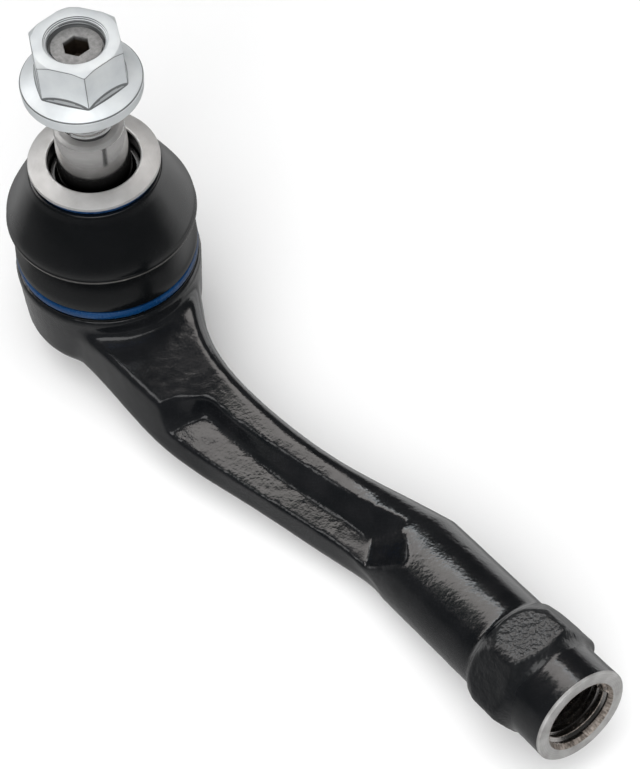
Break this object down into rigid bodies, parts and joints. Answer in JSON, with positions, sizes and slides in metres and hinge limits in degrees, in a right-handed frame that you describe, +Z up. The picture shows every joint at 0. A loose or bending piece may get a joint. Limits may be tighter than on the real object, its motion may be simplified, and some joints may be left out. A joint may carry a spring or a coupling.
{
  "type": "tie rod end",
  "caption": "Steering tie rod end: forged arm with a threaded shank, sealed ball joint under a rubber boot, tapered stud with a flange nut.",
  "frame": {"origin": "centre of the ball joint's ball", "axes": "+Z up the stud towards the nut; +X in plan along the threaded shank, away from the ball; +Y to the side that the arm is offset to"},
  "size_m": [0.1752, 0.0473, 0.0973],
  "materials": {
    "painted_forging": "gloss black paint over rough forged skin",
    "stud_steel": "ground and turned bright steel",
    "bearing_plastic": "moulded, smooth",
    "spring_steel": "dark oiled",
    "plate_steel": "black painted pressed sheet",
    "boot_rubber": "satin moulded rubber",
    "blue_ring": "blue coated spring band",
    "collar_steel": "matt turned steel",
    "zinc_plate": "bright zinc plate"
  },
  "bodies": {
    "housing_body": {"housing": "painted_forging", "bearing_shell": "bearing_plastic", "pressure_cup": "bearing_plastic", "disc_spring": "spring_steel", "closing_plate": "plate_steel", "lower_boot_ring": "blue_ring"},
    "boot_body": {"dust_boot": "boot_rubber"},
    "collar_body": {"collar_ring": "collar_steel", "upper_boot_ring": "blue_ring"},
    "stud_body": {"ball_stud": "stud_steel"},
    "nut_body": {"flange_nut": "zinc_plate"}
  },
  "joints": [
    {"name": "swing_x", "type": "hinge", "parent": "housing_body", "child": "boot_body", "pos_m": [0, 0, 0], "axis": [1, 0, 0], "range_deg": [-18, 18], "deforming": ["dust_boot"]},
    {"name": "swing_y", "type": "hinge", "parent": "boot_body", "child": "collar_body", "pos_m": [0, 0, 0], "axis": [0, 1, 0], "range_deg": [-18, 18], "deforming": ["dust_boot"]},
    {"name": "stud_spin", "type": "hinge", "parent": "collar_body", "child": "stud_body", "pos_m": [0, 0, 0], "axis": [0, 0, 1], "continuous": true},
    {"name": "nut_turn", "type": "hinge", "parent": "stud_body", "child": "nut_body", "pos_m": [0, 0, 0.0695], "axis": [0, 0, 1], "continuous": true}
  ]
}
